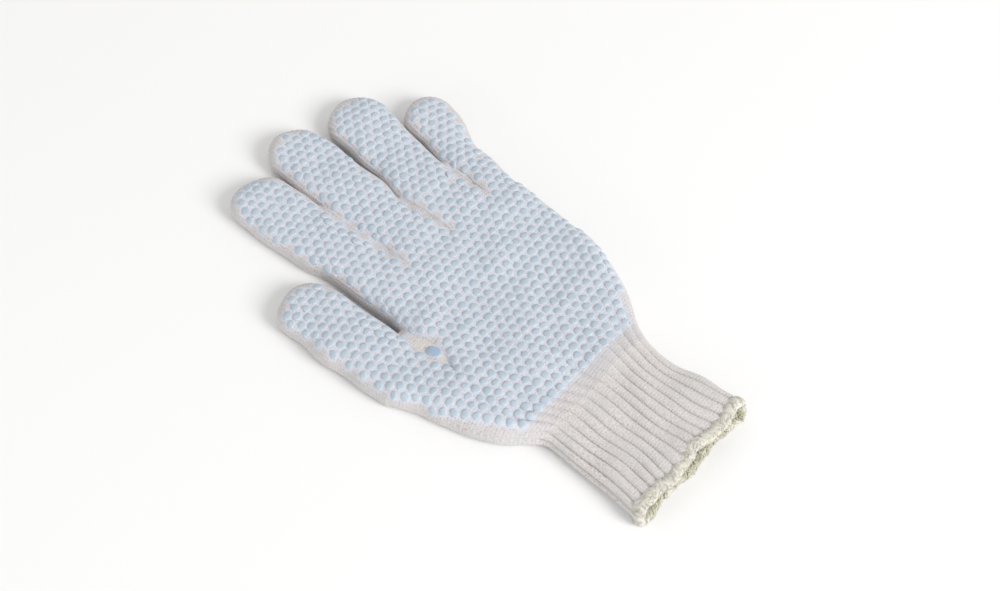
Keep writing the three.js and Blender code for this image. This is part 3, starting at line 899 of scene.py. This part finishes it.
def print_dots(name, centres, radius=DOT_RADIUS, rise=DOT_RISE, material=pale_vinyl):
    """Domes at the given centres on the cloth, made as one piece; each is a little off its place and size. A dot
    that a web would cover is lifted onto it, and the cream web stays bare but for the crotch dot."""
    places, faces = [], []
    for point, out in centres:
        ground = lie_on(np.array(point) + [*dot_seed.normal(0, 0.12, 2), 0], np.array(out))
        if ground is None or ground[1] @ out < 0.5:
            continue
        middle, up = ground
        covered = top_of(KNITTED, *middle[:2]) - middle[2]
        if up[2] > 0.8 and covered > 0.15:
            middle = middle + [0, 0, covered]
        if name != "crotch_dot" and np.linalg.norm(middle[:2] - CREAM_SPOT) < BARE_ROUND:
            continue
        if dot_middles and np.min(np.linalg.norm(np.array(dot_middles) - middle, axis=1)) < NEAREST_DOTS:
            continue
        dot_middles.append(middle)
        side = np.cross(up, [0, 1, 0])
        side /= np.linalg.norm(side)
        forward = np.cross(up, side)
        turn = dot_seed.uniform(0, 2 * np.pi)
        size = radius * dot_seed.uniform(0.86, 1.08)
        stretch = dot_seed.uniform(0.92, 1.08)
        base = len(places)
        angle = np.arctan2(dome_points[:, 1], dome_points[:, 0])
        wobble = 1 + 0.06 * np.sin(3 * angle + turn) + dot_seed.normal(0, 0.035, len(angle))
        flat = dome_points[:, :2] * size * wobble[:, None]
        a = (flat[:, 0] * math.cos(turn) - flat[:, 1] * math.sin(turn)) * stretch
        b = (flat[:, 0] * math.sin(turn) + flat[:, 1] * math.cos(turn)) / stretch
        lift = dome_points[:, 2] * (rise * dot_seed.uniform(0.8, 1.15) + DOT_SINK) - DOT_SINK
        places.extend(middle + a[:, None] * side + b[:, None] * forward + lift[:, None] * up)
        faces.extend(tuple(base + i for i in face) for face in dome_faces)
    piece = piece_from(name, places, faces)
    piece.data.shade_smooth()
    thick = np.tile(dome_thick, len(places) // len(dome_thick)).astype(np.float32)
    piece.data.attributes.new("thick", "FLOAT", "POINT").data.foreach_set("value", thick)
    dress(piece, material, "grip_dots")


def lattice(low_x, high_x, low_y, high_y):
    """Places of the staggered rows of dots, which run straight across the flat hand."""
    for row in range(math.floor(low_y / DOT_ROW), math.ceil(high_y / DOT_ROW) + 1):
        for column in range(math.floor(low_x / DOT_PITCH) - 1, math.ceil(high_x / DOT_PITCH) + 1):
            x, y = (column + 0.5 * (row % 2)) * DOT_PITCH, row * DOT_ROW
            if low_x <= x <= high_x and low_y <= y <= high_y:
                yield x, y


def wrapped(from_middle, width, height):
    """Where print that lies this far from the middle of a flat tube comes to lie on the round one: across, up,
    the outward direction there, and how far it is from the left and from the right edge along the cloth."""
    across, up = top_line(width, height)
    run = np.concatenate(([0], np.cumsum(np.hypot(np.diff(across), np.diff(up)))))
    at = run[-1] / 2 + from_middle
    if not 0 < at < run[-1]:
        return None
    x, z = np.interp(at, run, across), np.interp(at, run, up)
    dx, dz = (np.interp(at + 0.4, run, line) - np.interp(at - 0.4, run, line) for line in (across, up))
    return x, z, -dz / math.hypot(dx, dz), dx / math.hypot(dx, dz), at, run[-1] - at


def stall_centres(stall, line_y, left_margin, right_margin, tip_margin):
    """Dots of a stall: the flat rows, wrapped on its round top and turned with its lean."""
    lean = math.radians(stall["lean"])
    round_length = stall["widths"][1] * stall["tip"]
    straight_end = stall["length"] - round_length
    for x, y in lattice(stall["x"] - 20, stall["x"] + 20, line_y + 0.01, line_y + stall["length"]):
        along = y - line_y
        beyond = max(0, along - straight_end) / round_length
        fuller = max(0, along - straight_end + tip_margin) / round_length
        if fuller >= 1:
            continue
        height = np.interp(along, [0, stall["length"]], stall["heights"])
        height *= TIP_HEIGHT + (1 - TIP_HEIGHT) * (1 - beyond ** 2) ** 0.25
        found = wrapped(x - stall["x"], stall_width(stall, along) * math.sqrt(1 - beyond ** 2), height)
        inner = stall_width(stall, along) / 2 * (math.sqrt(1 - beyond ** 2) - math.sqrt(1 - fuller ** 2))
        if found and found[4] > left_margin + inner and found[5] > right_margin + inner:
            across, up, out_x, out_z = found[:4]
            yield ((stall["x"] + across * math.cos(lean) - along * math.sin(lean),
                    line_y + across * math.sin(lean) + along * math.cos(lean), up),
                   (out_x * math.cos(lean), out_x * math.sin(lean), out_z))


# How far the print stays off a finger's left edge, right edge and tip
FINGER_MARGINS = {"index": (4.5, 5.8, 2.6), "middle": (5.2, 5.2, 4.6), "ring": (5.0, 5.8, 2.4),
                  "little": (4.6, 6.2, 3.0)}
for finger in FINGERS:
    print_dots(finger["name"] + "_dots", stall_centres(finger, FINGER_LINE, *FINGER_MARGINS[finger["name"]]))
print_dots("thumb_dots", stall_centres(THUMB, THUMB_CROTCH, 4.6, 6.2, 3.2))

CREASES = (-6.6, 19.3, 45.6)
CREASES_FROM = 150
HEEL_BARE = 4.4
HEEL_BARE_FROM = 105
BIG_DOT = (-32.1, 111.4)


def palm_centres(table, low_y, high_y, left_margin, right_margin):
    """Dots of the hand between two of its lines: the flat rows, wrapped over its round edges. Towards the wrist
    more of the edges stays bare."""
    for x, y in lattice(-75, 75, low_y, high_y):
        left, right, height = (float(through(table, column, y)) for column in (1, 2, 3))
        found = wrapped(x - (left + right) / 2, right - left, height)
        barer = HEEL_BARE * float(eased(HEEL_BARE_FROM - y, 0, 40))
        if found and found[4] > left_margin + barer and found[5] > right_margin + barer:
            across, up, out_x, out_z = found[:4]
            x = across + (left + right) / 2
            on_crease = y > CREASES_FROM and any(-1.8 < x - crease < 3 for crease in CREASES)
            if math.hypot(x - BIG_DOT[0], y - BIG_DOT[1]) > BARE_ROUND and not on_crease:
                if abs(out_x) < 0.3:
                    up = top_of(KNITTED, x, y)
                yield (x, y, up), (out_x, 0, out_z)


bpy.context.view_layer.update()
print_dots("upper_palm_dots", palm_centres(PALM_SECTIONS, THUMB_CROTCH + 0.01, FINGER_LINE, 4.8, 6.0))
print_dots("heel_dots", palm_centres(HEEL_SECTIONS, 61.0, THUMB_CROTCH, 4.0, 6.0))
print_dots("crotch_dot", [((*BIG_DOT, top_of(KNITTED, *BIG_DOT)), (0, 0, 1))], 3.3, 0.8, thick_vinyl)

# Some of the vinyl soaks into the yarn round each dot and tints it.
SOAK_START, SOAK_END = 2.6, 3.7
middles = np.array(dot_middles)
for piece in KNITTED:
    co = np.zeros(len(piece.data.vertices) * 3, np.float32)
    piece.data.vertices.foreach_get("co", co)
    co = co.reshape(-1, 3) / MM - hand_origin
    soaked = np.zeros(len(co), np.float32)
    near = middles[(middles[:, 1] > co[:, 1].min() - 4) & (middles[:, 1] < co[:, 1].max() + 4)]
    for part in np.array_split(np.flatnonzero(co[:, 2] > 2.5), 12):
        distance = np.min(((co[part, None, :] - near[None]) ** 2).sum(-1), 1)
        soaked[part] = 1 - eased(np.sqrt(distance), SOAK_START, SOAK_END)
    piece.data.attributes.new("printed", "FLOAT", "POINT").data.foreach_set("value", soaked)


# Floor, light and camera. A plain pale sheet, a broad soft light from the wrist side, a weak one from the thumb
# side and a fill from all round; the camera looks down on the palm from between the two, as in the photograph.
bpy.ops.object.select_all(action="DESELECT")
bpy.ops.mesh.primitive_plane_add(size=6, location=(0, 0, -0.0002))
floor = bpy.context.object
floor.name = "floor"
floor_paint, tree = new_material("pale_floor")
tone = tinted(tree, "MIX", noise(tree, 3.0, 2.0), (0.915, 0.915, 0.915, 1), (0.93, 0.93, 0.93, 1))
matt_surface(tree, {"Base Color": tone, "Roughness": 0.8, "Specular IOR Level": 0.2})
floor.data.materials.append(floor_paint)

sky = bpy.data.worlds.new("soft_sky")
sky.use_nodes = True
glow = sky.node_tree.nodes["Background"].inputs
glow["Color"].default_value = (1.0, 0.995, 0.985, 1)
glow["Strength"].default_value = 0.675
bpy.context.scene.world = sky


def aimed(name, data, place, target):
    """Light or camera at a place, pointed at the target."""
    holder = bpy.data.objects.new(name, data)
    bpy.context.collection.objects.link(holder)
    holder.location = place
    holder.rotation_euler = (Vector(target) - Vector(place)).to_track_quat("-Z", "Y").to_euler()
    return holder


for name, place, size, energy in (("key", (0.3, -2.6, 1.65), 1.3, 71), ("fill", (-2.6, 0.3, 0.5), 1.4, 11)):
    lamp = bpy.data.lights.new(name, "AREA")
    lamp.shape = "SQUARE"
    lamp.size = size
    lamp.energy = energy
    aimed(name, lamp, place, (0, 0, 0))

lens = bpy.data.cameras.new("camera")
lens.lens = 58.7
lens.sensor_width = 36
lens.clip_start = 0.01
bpy.context.scene.camera = aimed("camera", lens, (-0.29617, -0.27108, 0.57341), (0.00685, -0.00767, 0.0))
bpy.context.scene.view_settings.view_transform = "Standard"
